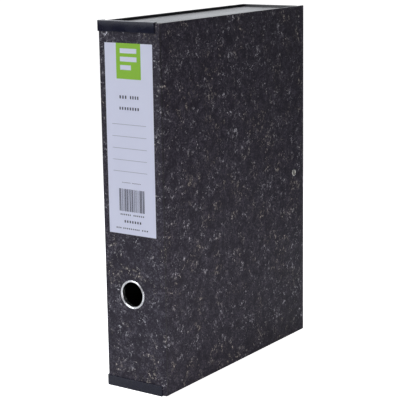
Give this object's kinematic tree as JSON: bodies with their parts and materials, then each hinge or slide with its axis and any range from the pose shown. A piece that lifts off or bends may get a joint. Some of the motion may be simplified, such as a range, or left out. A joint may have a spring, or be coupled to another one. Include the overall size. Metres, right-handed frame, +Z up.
{
  "type": "box file",
  "caption": "Foolscap box file: a board case with a hinged lid, a recessed tray, a sprung paper clip inside and a push-button catch on the fore-edge.",
  "frame": {"origin": "the middle of the case across the spine and from the spine to the fore-edge, on the plane that its tail end stands on", "axes": "+Z up the spine from the tail to the head, +X across the spine from the base cover to the lid, +Y from the spine to the fore-edge"},
  "size_m": [0.0755, 0.266, 0.37],
  "materials": {
    "cover_board": "matte",
    "wall_board": "satin",
    "black_paper": "satin",
    "marbled_paper": "satin",
    "cap_plastic": "satin",
    "label_paper": "satin",
    "index_paper": "matte",
    "nickel_plate": "polished",
    "zinc_steel": "satin",
    "spring_steel": "satin",
    "pad_rubber": "matte"
  },
  "bodies": {
    "box": {"base_board": "cover_board", "spine_board": "cover_board", "fore_edge_wall": "wall_board", "head_wall": "wall_board", "tail_wall": "wall_board", "base_lining": "black_paper", "spine_lining": "black_paper", "tray_cover_paper": "marbled_paper", "hinge_strip": "marbled_paper", "hinge_lining_strip": "black_paper", "spine_cap_top": "cap_plastic", "spine_cap_bottom": "cap_plastic", "spine_label": "label_paper", "finger_ring": "nickel_plate", "finger_ring_washer": "nickel_plate", "clip_base_plate": "zinc_steel", "clip_rivets": "zinc_steel", "clip_pivot_pin": "zinc_steel", "clip_spring": "spring_steel", "catch_housing": "zinc_steel", "catch_rivets": "zinc_steel", "catch_bezel": "nickel_plate", "catch_spring": "spring_steel"},
    "lid": {"lid_board": "cover_board", "lid_cover_paper": "marbled_paper", "lid_lining": "black_paper", "index_sheet": "index_paper", "catch_hook": "zinc_steel", "catch_eyelet": "nickel_plate"},
    "clip": {"clip_arm": "zinc_steel", "clip_tip_pad": "pad_rubber"},
    "catch": {"catch_button": "nickel_plate", "catch_frame": "zinc_steel"}
  },
  "joints": [
    {"name": "lid_hinge", "type": "hinge", "parent": "box", "child": "lid", "pos_m": [0.0377, -0.1282, 0], "axis": [0, 0, -1], "range_deg": [0, 180], "deforming": ["hinge_strip", "hinge_lining_strip"]},
    {"name": "clip_pivot", "type": "hinge", "parent": "box", "child": "clip", "pos_m": [-0.0278, -0.1097, 0.185], "axis": [0, 0, -1], "range_deg": [0, 90], "stiffness_Nm_per_rad": 0.3, "springref_deg": -51.57, "deforming": ["clip_spring"]},
    {"name": "catch_press", "type": "slide", "parent": "box", "child": "catch", "axis": [0, -1, 0], "range_m": [0, 0.002], "stiffness_N_per_m": 600, "springref_m": -0.002, "deforming": ["catch_spring"]}
  ]
}
